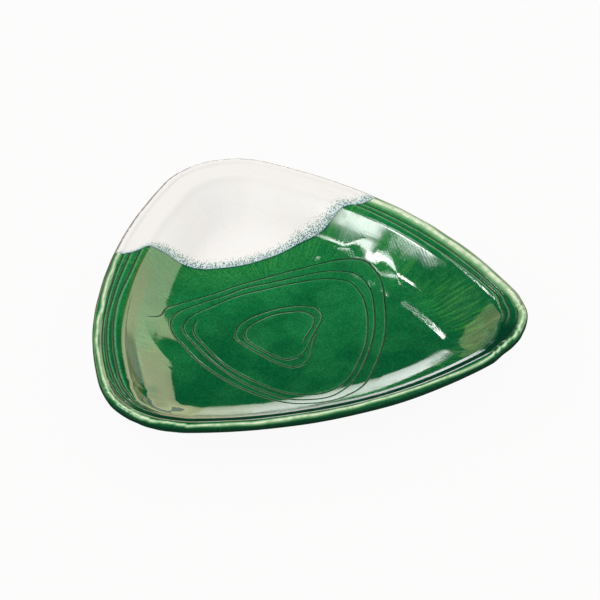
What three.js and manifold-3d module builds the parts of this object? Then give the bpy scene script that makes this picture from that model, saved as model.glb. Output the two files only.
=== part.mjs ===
// A glazed stoneware plate in the shape of a rounded triangle, about 256 by 250 by 36 mm.
// Units are millimetres and +Z is up. The plate stands on its foot ring at z = 0, and the white
// corner points along +Y.
import * as THREE from "three";
import { mergeVertices } from "three/addons/utils/BufferGeometryUtils.js";
import Module from "manifold-3d";

// Outline of the clay: three corner arcs and three side arcs, each tangent to the next
const CORNER_REACH = 139.2;
const CORNER_RADIUS = 52.1;
const SIDE_RADIUS = 275.4;

// How far the hand-cut outline stands out, and how far the shoulder lies further in, as [direction in
// degrees, mm] round the plate from the white corner
const OUTLINE_WAVER = [
  [90, 0], [112, -0.1], [136, -0.7], [150, -0.4], [161, 0.6], [175, -0.3], [198, 0], [225, -0.6],
  [243, -1.2], [254, 0.5], [265, -0.1], [275, 1.5], [285, 0.5], [297, -1.6], [318, 0.7], [340, 1.7],
  [357, 0], [373, -0.8], [392, -0.6], [402, -1.2], [416, -0.3], [432, -0.4],
];
const SHOULDER_WAVER = [
  [90, 0.5], [120, 1], [145, 1.5], [160, 1.3], [175, 1.7], [210, 0], [250, -1.4], [265, -1],
  [290, -0.3], [330, 0], [380, 0.5], [415, 0.5],
];

// The plate's middle, from where its outline would be without the waver
const MIDDLE = [0.1, 14.7];

// Heights above the table
const LIP_HEIGHT = 35;
const FLOOR_HEIGHT = 11;
const UNDERSIDE_HEIGHT = 5;

// Insets, measured inwards from the outline
const LIP_WIDTH = 3.6;
const LIP_EDGE_DEPTH = 5.4;
const FLANGE_INSET = 4.8;
const SHOULDER_INSET = 15;
const WALL_FOOT_INSET = 38.5;
const WALL_FOOT_RADIUS = 26;
const KNEE_INSET = 47;

// Scribed lines on the flange
const RIM_LINE_INSETS = [5.8, 8.8, 12.2];
const RIM_LINE_WIDTH = 0.9;
const RIM_LINE_DEPTH = 0.4;

// Two lines scribed on the floor, each a freehand spiral round one middle, as [angle in degrees,
// radius] where it bends. The angle runs on past 360 for each further turn. The outer line's end runs
// up the wall.
const SCRIBE_MIDDLE = [2.35, -0.85];
const SCRIBE_WIDTH = 0.9;
const SCRIBE_DEPTH = 0.4;
const SCRIBE_RISE = 0.2;
const SCRIBE_STEPS = 3;
const INNER_LINE = [
  [273, 16.4], [288, 13.2], [318, 11.6], [350, 13.3], [378, 16.7], [396, 17.1], [436, 14.8], [474, 16.5],
  [500, 19.8], [521, 25.8], [536, 28.2], [568, 26.5], [590, 28], [606, 29.6], [630, 23.4], [640, 19.6],
  [652, 16.8], [680, 14.9], [706, 16.3], [738, 22.4], [751, 23.7], [770, 21.6], [806, 19.4], [846, 22.4],
  [880, 31.2], [894, 33.7], [912, 31.5], [930, 30.2], [958, 33.8], [973, 36.8], [984, 33.9], [1002, 22.9],
  [1016, 18.4], [1040, 16.9],
];
const OUTER_LINE = [
  [151, 55.3], [160, 57.2], [182, 52.5], [204, 51.6], [228, 54], [254, 61.9], [267, 63.8], [280, 60.3],
  [300, 51], [320, 46.4], [340, 45], [362, 47.8], [380, 52.8], [391, 55.2], [401, 52.4], [422, 43.6],
  [450, 39.3], [480, 44.3], [499, 51.6], [511, 60.3], [518, 63], [538, 57.6], [560, 55.4], [594, 60.7],
  [616, 68], [628, 69.6], [642, 63.4], [664, 53.3], [694, 48.8], [722, 52.8], [740, 60], [752, 63.2],
  [763, 59.9], [784, 48.7], [806, 44], [826, 46.1], [844, 49.8], [858, 58.4], [868, 67.4], [876, 70.5],
  [898, 64.1], [924, 61.2], [958, 66.2], [976, 73], [988, 75], [1000, 72], [1024, 60.5], [1054, 55.4],
  [1084, 60.4], [1102, 69.5], [1113, 72.3], [1124, 69.4], [1144, 56.2], [1164, 49.9], [1190, 51],
  [1208, 56.9], [1222, 68.8], [1229, 74.4], [1237, 77.2], [1244, 87],
];

// Foot ring
const FOOT_OUTER_INSET = 42;
const FOOT_WIDTH = 8;
const FOOT_DRAFT = 0.8;
const FOOT_EDGE = 1;

// Glaze coats
const GLAZE_THICKNESS = 0.6;
const GLAZE_BOND = 0.1;
const GLAZE_END_INSET = 37.5;
const SEAM_GAP = 0.3;

// Where the white glaze ends, across the plate from the left rim to the right rim
const SEAM = [
  [-130, 75],
  [-96, 75],
  [-86, 73.6],
  [-78, 71.2],
  [-70, 71.3],
  [-58, 74.8],
  [-40, 71.6],
  [-21, 66.6],
  [-3, 64.3],
  [17, 66.5],
  [34, 70.8],
  [49, 69],
  [60, 71.5],
  [72, 69],
  [84, 70],
  [130, 66],
];
const SEAM_STEPS = 48;

// Facets
const CORNER_STEPS = 9;
const SIDE_STEPS = 6;
const FILLET_STEPS = 4;
const SMALL_FILLET = 2;
const SMALL_FILLET_STEPS = 2;

const CLAY = 0xb79d83;
const GREEN = 0x0e6b36;
const WHITE = 0xf1eeea;

const wasm = await Module();
wasm.setup();

// The side arc's centre lies this far behind the plate's centre, where it meets the corner arc at
// one tangent direction.
const CORNER_CENTRE = CORNER_REACH - CORNER_RADIUS;
const SIDE_CENTRE =
  (Math.sqrt(4 * (SIDE_RADIUS - CORNER_RADIUS) ** 2 - 3 * CORNER_CENTRE ** 2) - CORNER_CENTRE) / 2;
const MID_SIDE = SIDE_RADIUS - SIDE_CENTRE;
const THIRD = (2 * Math.PI) / 3;
const TANGENT = Math.atan2(
  SIDE_CENTRE * Math.sin(THIRD / 2),
  CORNER_CENTRE + SIDE_CENTRE * Math.cos(THIRD / 2),
);

// The waver at a direction: each knot runs smoothly over to the next, round the whole plate.
function waverAt(knots, direction) {
  const first = knots[0][0];
  const turned = THREE.MathUtils.euclideanModulo(THREE.MathUtils.radToDeg(direction) - first, 360) + first;
  const closed = [...knots, [first + 360, knots[0][1]]];
  const i = closed.findIndex(([degrees]) => degrees > turned);
  const [from, to] = [closed[i - 1], closed[i]];
  return THREE.MathUtils.lerp(from[1], to[1], THREE.MathUtils.smoothstep(turned, from[0], to[0]));
}

// How far the loop at an inset stands out. The outline's waver dies out down the wall, and the
// shoulder's is full between the flange and the wall.
function outwards(direction, inset) {
  const { smoothstep } = THREE.MathUtils;
  const shoulder = smoothstep(inset, 7, 15) * (1 - smoothstep(inset, 22, 38));
  const outline = 1 - smoothstep(inset, 22, 40);
  return outline * waverAt(OUTLINE_WAVER, direction) - shoulder * waverAt(SHOULDER_WAVER, direction);
}

// Directions square to the outline: those on one corner arc and the side arc after it, for each third.
function directions() {
  const third = [];
  for (let i = 0; i < CORNER_STEPS; i++) third.push(-TANGENT + (2 * TANGENT * i) / CORNER_STEPS);
  for (let i = 0; i < SIDE_STEPS; i++) third.push(TANGENT + ((THIRD - 2 * TANGENT) * i) / SIDE_STEPS);
  return [0, 1, 2].flatMap((corner) => third.map((angle) => ({ angle, axis: Math.PI / 2 + corner * THIRD })));
}

// The whole outline at one inset and height. Past the knee it shrinks towards the centre, since the
// corner arcs have no radius left to give.
function loop(inset, z) {
  const held = Math.min(inset, KNEE_INSET);
  const scale = Math.max(MID_SIDE - inset, 0) / (MID_SIDE - held);
  return directions().map(({ angle, axis }) => {
    const onCorner = angle <= TANGENT - 1e-9;
    const towards = onCorner ? axis : axis + THIRD / 2 + Math.PI;
    const offset = onCorner ? CORNER_CENTRE : SIDE_CENTRE;
    const radius = (onCorner ? CORNER_RADIUS : SIDE_RADIUS) - held + outwards(axis + angle, inset);
    return [
      scale * (offset * Math.cos(towards) + radius * Math.cos(axis + angle)),
      scale * (offset * Math.sin(towards) + radius * Math.sin(axis + angle)),
      z,
    ];
  });
}

// A section is a list of [inset, z, fillet radius]; each turn becomes an arc.
function rounded(section) {
  const points = [new THREE.Vector2(section[0][0], section[0][1])];
  for (let i = 1; i < section.length - 1; i++) {
    const [x, z, radius] = section[i];
    const here = new THREE.Vector2(x, z);
    const back = new THREE.Vector2(section[i - 1][0], section[i - 1][1]).sub(here).normalize();
    const on = new THREE.Vector2(section[i + 1][0], section[i + 1][1]).sub(here).normalize();
    const half = Math.acos(THREE.MathUtils.clamp(back.dot(on), -1, 1)) / 2;
    const cut = radius / Math.tan(half);
    const centre = here.clone().add(back.clone().add(on).normalize().multiplyScalar(radius / Math.sin(half)));
    const first = here.clone().addScaledVector(back, cut).sub(centre);
    const sweep = first.clone().cross(here.clone().addScaledVector(on, cut).sub(centre)) > 0 ? 1 : -1;
    const steps = radius < SMALL_FILLET ? SMALL_FILLET_STEPS : FILLET_STEPS;
    for (let k = 0; k <= steps; k++) {
      const angle = (sweep * (Math.PI - 2 * half) * k) / steps;
      points.push(first.clone().rotateAround(new THREE.Vector2(), angle).add(centre));
    }
  }
  const last = section[section.length - 1];
  points.push(new THREE.Vector2(last[0], last[1]));
  return points;
}

// Moves each point of a section square to it: to the side the glaze lies on for a positive distance.
function shifted(points, distance) {
  return points.map((p, i) => {
    const before = points[Math.max(i - 1, 0)];
    const after = points[Math.min(i + 1, points.length - 1)];
    const along = after.clone().sub(before).normalize();
    return new THREE.Vector2(p.x + along.y * distance, p.y - along.x * distance);
  });
}

// A closed skin over a section that starts and ends at the plate's centre. From the row where the
// section folds back on itself the quads are split the other way, so that both faces of a coat bend
// along the same lines.
function skin(section, fold = section.length) {
  const ring = loop(0, 0).length;
  const positions = [];
  const indices = [];
  section.forEach((p, i) => {
    const ends = i === 0 || i === section.length - 1;
    const points = ends ? [[0, 0, p.y]] : loop(p.x, p.y);
    points.forEach((q) => positions.push(...q));
  });
  const start = (i) => 1 + (i - 1) * ring;
  const lastPole = start(section.length - 1);
  for (let k = 0; k < ring; k++) {
    const next = (k + 1) % ring;
    indices.push(0, start(1) + k, start(1) + next);
    for (let i = 1; i < section.length - 2; i++) {
      const a = start(i) + k;
      const b = start(i) + next;
      const c = start(i + 1) + k;
      const d = start(i + 1) + next;
      indices.push(...(i < fold ? [a, c, b, b, c, d] : [a, c, d, a, d, b]));
    }
    const edge = start(section.length - 2);
    indices.push(edge + next, edge + k, lastPole);
  }
  return geometryOf(positions, indices);
}

// A closed ring over a section that closes on itself.
function ringSkin(section) {
  const ring = loop(0, 0).length;
  const positions = section.flatMap((p) => loop(p.x, p.y).flat());
  const indices = [];
  section.forEach((_, i) => {
    const here = i * ring;
    const there = ((i + 1) % section.length) * ring;
    for (let k = 0; k < ring; k++) {
      const next = (k + 1) % ring;
      indices.push(here + k, there + k, here + next, here + next, there + k, there + next);
    }
  });
  return geometryOf(positions, indices);
}

function geometryOf(positions, indices) {
  const geometry = new THREE.BufferGeometry();
  geometry.setAttribute("position", new THREE.Float32BufferAttribute(positions, 3));
  geometry.setIndex(indices);
  return geometry;
}

function solidOf(geometry) {
  const bare = geometry.clone();
  bare.deleteAttribute("normal");
  bare.deleteAttribute("uv");
  const merged = mergeVertices(bare, 1e-4);
  return new wasm.Manifold(
    new wasm.Mesh({
      numProp: 3,
      vertProperties: merged.attributes.position.array,
      triVerts: new Uint32Array(merged.index.array),
    }),
  );
}

function geometryFrom(solid) {
  const mesh = solid.getMesh();
  return geometryOf(Array.from(mesh.vertProperties), Array.from(mesh.triVerts));
}

// The face that is looked at: floor, wall, shoulder, flange and lip, then down the edge and back
// under the flange and the wall.
const clay = rounded([
  [MID_SIDE, FLOOR_HEIGHT - 0.4, 0],
  [WALL_FOOT_INSET, FLOOR_HEIGHT, WALL_FOOT_RADIUS],
  [SHOULDER_INSET, LIP_HEIGHT - 2, 5],
  [FLANGE_INSET, LIP_HEIGHT - 1.1, 1],
  [LIP_WIDTH, LIP_HEIGHT, 0.8],
  [0, LIP_HEIGHT, 1.8],
  [0.6, LIP_HEIGHT - LIP_EDGE_DEPTH, 1.4],
  [11.2, 28.3, 8],
  [36.6, UNDERSIDE_HEIGHT, 12],
  [MID_SIDE, UNDERSIDE_HEIGHT, 0],
]);
const glazed = clay.findIndex((p, i) => i > clay.length / 2 && p.x > GLAZE_END_INSET);
const coatInner = shifted(clay.slice(0, glazed), GLAZE_BOND);
const coatOuter = shifted(clay.slice(0, glazed), GLAZE_THICKNESS);

// The coat's upper face with three V-shaped lines across the flange, from its inner end outwards.
function withRimLines(face) {
  const outerEnd = face.findIndex((p) => p.x < RIM_LINE_INSETS[0]);
  const from = face[outerEnd - 1];
  const to = face[outerEnd];
  const height = (inset) => from.y + ((to.y - from.y) * (inset - from.x)) / (to.x - from.x);
  const half = RIM_LINE_WIDTH / 2;
  const lines = [...RIM_LINE_INSETS].reverse().flatMap((inset) => [
    new THREE.Vector2(inset + half, height(inset + half)),
    new THREE.Vector2(inset, height(inset) - RIM_LINE_DEPTH),
    new THREE.Vector2(inset - half, height(inset - half)),
  ]);
  return [...face.slice(0, outerEnd), ...lines, ...face.slice(outerEnd)];
}

// Height of the coat's upper face over a plan point of the floor or the wall.
const coatFace = new THREE.Mesh(skin(coatOuter), new THREE.MeshBasicMaterial({ side: THREE.DoubleSide }));
const plumb = new THREE.Raycaster();
function coatHeight(x, y) {
  plumb.set(new THREE.Vector3(x, y, 2 * LIP_HEIGHT), new THREE.Vector3(0, 0, -1));
  return plumb.intersectObject(coatFace)[0].point.z;
}

// A V-shaped groove along a scribed line, as the solid that cuts it. It comes out of the surface at
// both ends of the line.
function scribedGroove(line) {
  const bends = line.map(([degrees, radius]) => {
    const angle = THREE.MathUtils.degToRad(degrees);
    const [x, y] = SCRIBE_MIDDLE;
    return new THREE.Vector3(x + radius * Math.cos(angle), y + radius * Math.sin(angle), 0);
  });
  const steps = (line.length - 1) * SCRIBE_STEPS;
  const path = new THREE.CatmullRomCurve3(bends).getPoints(steps);
  path.forEach((p) => p.setZ(coatHeight(p.x, p.y)));
  const half = (SCRIBE_WIDTH / 2) * (1 + SCRIBE_RISE / SCRIBE_DEPTH);
  const positions = path.flatMap((p, i) => {
    const along = path[Math.min(i + 1, steps)].clone().sub(path[Math.max(i - 1, 0)]).setZ(0).normalize();
    const bed = i === 0 || i === steps ? SCRIBE_RISE / 2 : -SCRIBE_DEPTH;
    return [
      p.x - along.y * half, p.y + along.x * half, p.z + SCRIBE_RISE,
      p.x, p.y, p.z + bed,
      p.x + along.y * half, p.y - along.x * half, p.z + SCRIBE_RISE,
    ];
  });
  const indices = [0, 1, 2];
  for (let i = 0; i < steps; i++) {
    for (let k = 0; k < 3; k++) {
      const [a, b] = [3 * i + k, 3 * i + ((k + 1) % 3)];
      indices.push(a, a + 3, b, b, a + 3, b + 3);
    }
  }
  indices.push(3 * steps, 3 * steps + 2, 3 * steps + 1);
  return solidOf(geometryOf(positions, indices));
}

function clayBody() {
  return solidOf(skin(clay));
}

function footRing() {
  const outer = FOOT_OUTER_INSET;
  const inner = FOOT_OUTER_INSET + FOOT_WIDTH;
  const top = UNDERSIDE_HEIGHT - GLAZE_BOND;
  return solidOf(
    ringSkin(
      [
        [outer - FOOT_DRAFT, top],
        [outer, FOOT_EDGE],
        [outer + FOOT_EDGE, 0],
        [inner - FOOT_EDGE, 0],
        [inner, FOOT_EDGE],
        [inner + FOOT_DRAFT, top],
      ].map(([x, z]) => new THREE.Vector2(x, z)),
    ),
  );
}

function glazeCoat(face) {
  return solidOf(skin([...face, ...[...coatInner].reverse()], face.length));
}

// The green coat shows every scribed line. The white one is thicker and has run level over them.
function greenGlaze() {
  const coat = glazeCoat(withRimLines(coatOuter)).subtract(whiteGround(SEAM_GAP));
  return coat.subtract(scribedGroove(INNER_LINE)).subtract(scribedGroove(OUTER_LINE));
}

function whiteGlaze() {
  return glazeCoat(coatOuter).intersect(whiteGround(0));
}

// The ground that the white glaze covers, as a tall block, grown by a margin.
function whiteGround(margin) {
  const curve = new THREE.CatmullRomCurve3(SEAM.map(([x, y]) => new THREE.Vector3(x, y - margin, 0)));
  const shape = new THREE.Shape(curve.getPoints(SEAM_STEPS).map((p) => new THREE.Vector2(p.x, p.y)));
  shape.lineTo(150, 200);
  shape.lineTo(-150, 200);
  shape.closePath();
  const block = new THREE.ExtrudeGeometry(shape, { depth: 60, bevelEnabled: false });
  block.translate(0, 0, -10);
  return solidOf(block);
}

const pieces = [
  ["clay_body", clayBody(), CLAY, 0.85],
  ["foot_ring", footRing(), CLAY, 0.9],
  ["green_glaze", greenGlaze(), GREEN, 0.12],
  ["white_glaze", whiteGlaze(), WHITE, 0.15],
];

const plate = new THREE.Group();
for (const [name, solid, colour, roughness] of pieces) {
  const material = new THREE.MeshStandardMaterial({ color: colour, roughness, metalness: 0 });
  const mesh = new THREE.Mesh(geometryFrom(solid), material);
  mesh.name = name;
  mesh.position.set(-MIDDLE[0], -MIDDLE[1], 0);
  plate.add(mesh);
}

export default plate;
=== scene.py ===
"""Looks of the triangular plate: a pressed stoneware plate with a copper green glaze, and a white
glaze on one corner. The outline, the section and the scribed lines follow the CAD model's. The near
wall's slump, its shoulder's reach and the left wall's fuller foot are only here. Lengths are in metres.

Plan frame: the plate's middle is at (0, 0) while a surface is worked out, the white corner points along
+Y, and the last step moves it to the model's own origin.
"""
import logging
import math
from dataclasses import dataclass, field
from enum import Enum
from typing import Callable

import bpy
import numpy as np
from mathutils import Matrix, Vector


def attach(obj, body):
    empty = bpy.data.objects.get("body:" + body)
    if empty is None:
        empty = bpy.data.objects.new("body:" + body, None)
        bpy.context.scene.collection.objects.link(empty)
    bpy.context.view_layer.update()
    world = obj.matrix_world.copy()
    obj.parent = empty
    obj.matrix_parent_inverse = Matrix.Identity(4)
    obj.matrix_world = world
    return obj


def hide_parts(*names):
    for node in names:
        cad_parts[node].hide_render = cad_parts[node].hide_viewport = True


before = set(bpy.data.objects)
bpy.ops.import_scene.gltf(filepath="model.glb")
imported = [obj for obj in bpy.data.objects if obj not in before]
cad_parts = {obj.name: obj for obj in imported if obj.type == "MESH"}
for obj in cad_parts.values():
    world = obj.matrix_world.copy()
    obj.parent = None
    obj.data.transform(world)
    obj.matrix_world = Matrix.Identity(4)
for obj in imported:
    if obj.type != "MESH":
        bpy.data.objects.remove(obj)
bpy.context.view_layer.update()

log = logging.getLogger("plate")
MM = 0.001
THIRD = 2 * math.pi / 3
GLASS_IOR = 1.52
BODY = "root"


class Slot(Enum):
    """The record's material slots."""

    BARE_CLAY = "bare_clay"
    GREEN_GLAZE = "green_glaze"
    WHITE_GLAZE = "white_glaze"


def smoothstep(low: float, high: float, value: np.ndarray) -> np.ndarray:
    """Rises from 0 at low to 1 at high as 3t^2 - 2t^3."""
    t = np.clip((value - low) / (high - low), 0, 1)
    return t * t * (3 - 2 * t)


def curve(at: np.ndarray, level: np.ndarray, where: np.ndarray) -> np.ndarray:
    """A smooth curve through knots: a cubic between each two, with the slopes of the neighbours' line.

    Args:
        at: the knots' places, rising.
        level: the knots' values.
        where: the places to work it out at; beyond the end knots the curve stays level.

    Returns:
        The curve's values.
    """
    slope = np.gradient(level, at)
    i = np.clip(np.searchsorted(at, where, side="right") - 1, 0, len(at) - 2)
    width = at[i + 1] - at[i]
    t = np.clip((where - at[i]) / width, 0, 1)
    return (
        level[i] * (1 + 2 * t) * (1 - t) ** 2
        + slope[i] * width * t * (1 - t) ** 2
        + level[i + 1] * t * t * (3 - 2 * t)
        + slope[i + 1] * width * t * t * (t - 1)
    )


def ripple(turn: np.ndarray, cycles: range, size: float, seed: int) -> np.ndarray:
    """Hand unevenness round the plate: a sum of sine waves, each smaller the more cycles it has.

    Args:
        turn: angle round the plate.
        cycles: the waves' cycles in one turn.
        size: rough height of the sum.
        seed: picks the phases.

    Returns:
        The sum at each angle.
    """
    rng = np.random.default_rng(seed)
    waves = np.array(list(cycles), float)
    phase = rng.uniform(0, 2 * math.pi, len(waves))
    share = rng.uniform(0.4, 1.0, len(waves)) / np.sqrt(waves)
    share *= size / math.sqrt(float((share**2).sum() / 2))
    return (share * np.sin(turn[..., None] * waves + phase)).sum(-1)


@dataclass(frozen=True)
class Waver:
    """Something that changes slowly round the plate, as (degrees, mm) knots. Each knot runs over to the
    next in a smooth step, and the last one back to the first."""

    knots: tuple[tuple[float, float], ...]

    def at(self, direction: np.ndarray) -> np.ndarray:
        """The waver at directions.

        Args:
            direction: radians.

        Returns:
            Its value in metres.
        """
        turn, size = np.array(self.knots).T
        turn, size = np.append(turn, turn[0] + 360), np.append(size, size[0])
        turned = (np.degrees(direction) - turn[0]) % 360 + turn[0]
        i = np.clip(np.searchsorted(turn, turned, side="right") - 1, 0, len(turn) - 2)
        return MM * (size[i] + (size[i + 1] - size[i]) * smoothstep(turn[i], turn[i + 1], turned))


@dataclass(frozen=True)
class Outline:
    """Rounded triangle of six tangent arcs, three round the corners and three along the sides, each
    loop of it pushed out or drawn in by the hand's waver."""

    corner_reach: float = 139.2 * MM
    corner_radius: float = 52.1 * MM
    side_radius: float = 275.4 * MM
    knee_inset: float = 47 * MM
    middle: tuple[float, float] = (0.1 * MM, 14.7 * MM)
    few_columns: tuple[int, int] = (24, 40)
    edge_fade: tuple[float, float] = (22 * MM, 40 * MM)
    shoulder_rise: tuple[float, float] = (7 * MM, 15 * MM)
    shoulder_fall: tuple[float, float] = (16 * MM, 46 * MM)
    edge_waver: Waver = Waver((
        (90, -0.15), (112, -0.15), (136, -0.7), (150, -0.4), (161, 0.6), (175, -0.3), (198, 0),
        (225, -0.5), (241, -0.9), (262, 0.2), (275, 1.1), (287, 0.5), (300, -0.9), (320, 0.7),
        (340, 1.65), (357, 0.2), (373, -0.8), (392, -0.6), (402, -1.2), (416, -0.3), (432, -0.4),
    ))
    shoulder_waver: Waver = Waver((
        (90, 0.5), (120, 1), (145, 1.5), (160, 1.5), (172, 2.2), (188, 0.8), (205, -1.5), (235, -3),
        (255, -4), (275, -4.5), (300, -3.5), (330, 0), (380, 0.5), (415, 0.5),
    ))

    @property
    def corner_centre(self) -> float:
        """Distance of a corner arc's centre from the middle."""
        return self.corner_reach - self.corner_radius

    @property
    def side_centre(self) -> float:
        """Distance of a side arc's centre behind the middle, where the arcs are tangent."""
        gap = self.side_radius - self.corner_radius
        return (math.sqrt(4 * gap**2 - 3 * self.corner_centre**2) - self.corner_centre) / 2

    @property
    def side_reach(self) -> float:
        """Distance from the middle to the middle of a side."""
        return self.side_radius - self.side_centre

    @property
    def tangent(self) -> float:
        """Direction, from a corner's axis, where a corner arc meets a side arc."""
        rise = self.side_centre * math.sin(THIRD / 2)
        return math.atan2(rise, self.corner_centre + self.side_centre * math.cos(THIRD / 2))

    def outwards(self, direction: np.ndarray, inset: np.ndarray) -> np.ndarray:
        """How far the loop at an inset stands out. The edge's waver dies out down the wall, and the
        shoulder's draws in the loops between the flange and the wall.

        Args:
            direction: directions square to the outline.
            inset: distances inside it, of a shape that goes with direction.

        Returns:
            The distance outwards.
        """
        edge = 1 - smoothstep(*self.edge_fade, inset)
        shoulder = smoothstep(*self.shoulder_rise, inset) * (1 - smoothstep(*self.shoulder_fall, inset))
        return edge * self.edge_waver.at(direction) - shoulder * self.shoulder_waver.at(direction)

    def directions(self, corner_steps: int, side_steps: int) -> np.ndarray:
        """Directions square to the outline, evenly spaced along each arc.

        Args:
            corner_steps: columns on a corner arc.
            side_steps: columns on a side arc.

        Returns:
            Directions for a whole turn, from the white corner's first arc end.
        """
        corner = np.linspace(-self.tangent, self.tangent, corner_steps, endpoint=False)
        side = np.linspace(self.tangent, THIRD - self.tangent, side_steps, endpoint=False)
        one = np.concatenate([corner, side])
        return np.concatenate([math.pi / 2 + one + k * THIRD for k in range(3)])

    def point(self, direction: np.ndarray, inset: np.ndarray) -> tuple[np.ndarray, np.ndarray]:
        """Arc centre plus (radius - inset) along the direction. Past the knee, the knee's point is
        drawn in towards the middle.

        Args:
            direction: directions square to the outline.
            inset: distances inside the clay's outline, of a shape that goes with direction.

        Returns:
            The plan x and y.
        """
        local = (direction - math.pi / 2 + THIRD / 2) % THIRD - THIRD / 2
        axis = direction - local
        corner = np.abs(local) <= self.tangent
        side_axis = axis + np.sign(local) * THIRD / 2 + math.pi
        towards = np.where(corner, axis, side_axis)
        offset = np.where(corner, self.corner_centre, self.side_centre)
        radius = np.where(corner, self.corner_radius, self.side_radius)
        held = np.minimum(inset, self.knee_inset)
        drawn = np.clip(self.side_reach - inset, 0, None) / (self.side_reach - held)
        reach = radius - held + self.outwards(direction, inset)
        x = offset * np.cos(towards) + reach * np.cos(direction)
        y = offset * np.sin(towards) + reach * np.sin(direction)
        return x * drawn, y * drawn

    def carried(self, line: np.ndarray) -> tuple[np.ndarray, np.ndarray, np.ndarray]:
        """A section carried round the outline, for the pieces that need few columns.

        Args:
            line: (inset, height) points.

        Returns:
            The points as rows by columns by 3, the columns' directions and the points' insets.
        """
        direction = self.directions(*self.few_columns)
        direction = np.append(direction, direction[0] + 2 * math.pi)
        inset = np.repeat(line[:, :1], len(direction), axis=1)
        x, y = self.point(direction, inset)
        grid = np.stack([x, y, np.repeat(line[:, 1:], len(direction), axis=1)], -1)
        grid[..., :2] -= self.middle
        return grid, direction, inset

    def inset(self, x: np.ndarray, y: np.ndarray) -> np.ndarray:
        """Distance inside the outline: the arc's radius less the distance from the arc's centre, and
        then corrected a few times for how far its own loop stands out.

        Args:
            x: plan x.
            y: plan y.

        Returns:
            The inset at each point.
        """
        angle = np.arctan2(y, x)
        local = (angle - math.pi / 2 + THIRD / 2) % THIRD - THIRD / 2
        reach = np.hypot(x, y)
        along = reach * np.cos(local)
        across = np.abs(reach * np.sin(local))
        from_corner = along - self.corner_centre
        in_corner = np.abs(np.arctan2(across, from_corner)) <= self.tangent
        corner = self.corner_radius - np.hypot(from_corner, across)
        back = along + self.side_centre * math.cos(THIRD / 2)
        aside = across + self.side_centre * math.sin(THIRD / 2)
        side = self.side_radius - np.hypot(back, aside)
        turn = np.where(in_corner, np.arctan2(across, from_corner), np.arctan2(aside, back))
        direction = angle - local + np.where(local < 0, -turn, turn)
        plain = np.where(in_corner, corner, side)
        inset = plain
        for _ in range(4):
            inset = plain + self.outwards(direction, inset)
        return inset


@dataclass(frozen=True)
class Section:
    """Half section of the clay as (inset, height) points in mm, walked from the middle of the floor over
    the lip to the middle of the underside, with each turn rounded to an arc."""

    floor: float = 11.0
    underside: float = 5.0
    lip: float = 35.0
    floor_reach: float = 108.8
    steps: int = 14

    def turns(self) -> list[tuple[float, float, float]]:
        """The turns: inset, height and fillet radius, in mm."""
        return [
            (self.floor_reach, self.floor - 0.4, 0),
            (38.5, self.floor, 26),
            (15.0, self.lip - 2, 5),
            (4.8, self.lip - 1.1, 1),
            (3.6, self.lip, 0.8),
            (0.0, self.lip, 1.8),
            (0.6, self.lip - 5.4, 1.4),
            (11.2, 28.3, 8),
            (36.6, self.underside, 12),
            (self.floor_reach, self.underside, 0),
        ]

    def line(self) -> np.ndarray:
        """Each turn as an arc between its two tangent points.

        Returns:
            Points of the section, in metres.
        """
        turns = self.turns()
        points = [np.array(turns[0][:2])]
        for before, here, after in zip(turns, turns[1:], turns[2:]):
            corner = np.array(here[:2])
            back = np.array(before[:2]) - corner
            ahead = np.array(after[:2]) - corner
            back /= np.hypot(*back)
            ahead /= np.hypot(*ahead)
            half = math.acos(float(np.clip(back @ ahead, -1, 1))) / 2
            middle = (back + ahead) / np.hypot(*(back + ahead))
            centre = corner + middle * here[2] / math.sin(half)
            first = corner + back * here[2] / math.tan(half) - centre
            last = corner + ahead * here[2] / math.tan(half) - centre
            way = 1 if first[0] * last[1] - first[1] * last[0] > 0 else -1
            angle = way * np.linspace(0, math.pi - 2 * half, self.steps)[:, None]
            square = np.array([-first[1], first[0]])
            points.extend(centre + (first * np.cos(angle) + square * np.sin(angle)))
        points.append(np.array(turns[-1][:2]))
        return np.array(points) * MM


@dataclass(frozen=True)
class WallForm:
    """How the wall departs from the section by direction: fuller at its foot, or slumped half way up.
    Both are humps round one inset."""

    fullness: Waver = Waver(((149, 0), (168, 2.5), (190, 2.5), (215, 1.5), (235, 0)))
    slump: Waver = Waver(((149, 0), (165, -1.5), (190, -3), (222, -3.5), (310, -3.5), (330, 0)))
    foot: tuple[float, float] = (34 * MM, 9 * MM)
    half_way: tuple[float, float] = (26 * MM, 8 * MM)

    def rise(self, direction: np.ndarray, inset: np.ndarray) -> np.ndarray:
        """Height to add to the wall.

        Args:
            direction: directions square to the outline.
            inset: distances inside the outline, of a shape that goes with direction.

        Returns:
            The height at each point.
        """
        rise = 0
        for size, (middle, width) in ((self.fullness, self.foot), (self.slump, self.half_way)):
            rise = rise + size.at(direction) * np.exp(-(((inset - middle) / width) ** 2))
        return rise


def square_to(line: np.ndarray) -> np.ndarray:
    """Unit vectors square to a section's line, outwards.

    Args:
        line: (inset, height) points.

    Returns:
        A vector for each point.
    """
    along = np.gradient(line, axis=0)
    along /= np.hypot(along[:, 0], along[:, 1])[:, None]
    return np.stack([along[:, 1], -along[:, 0]], 1)


def shifted(line: np.ndarray, distance: float) -> np.ndarray:
    """The section with each point moved square to it, outwards for a positive distance."""
    return line + distance * square_to(line)


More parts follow.
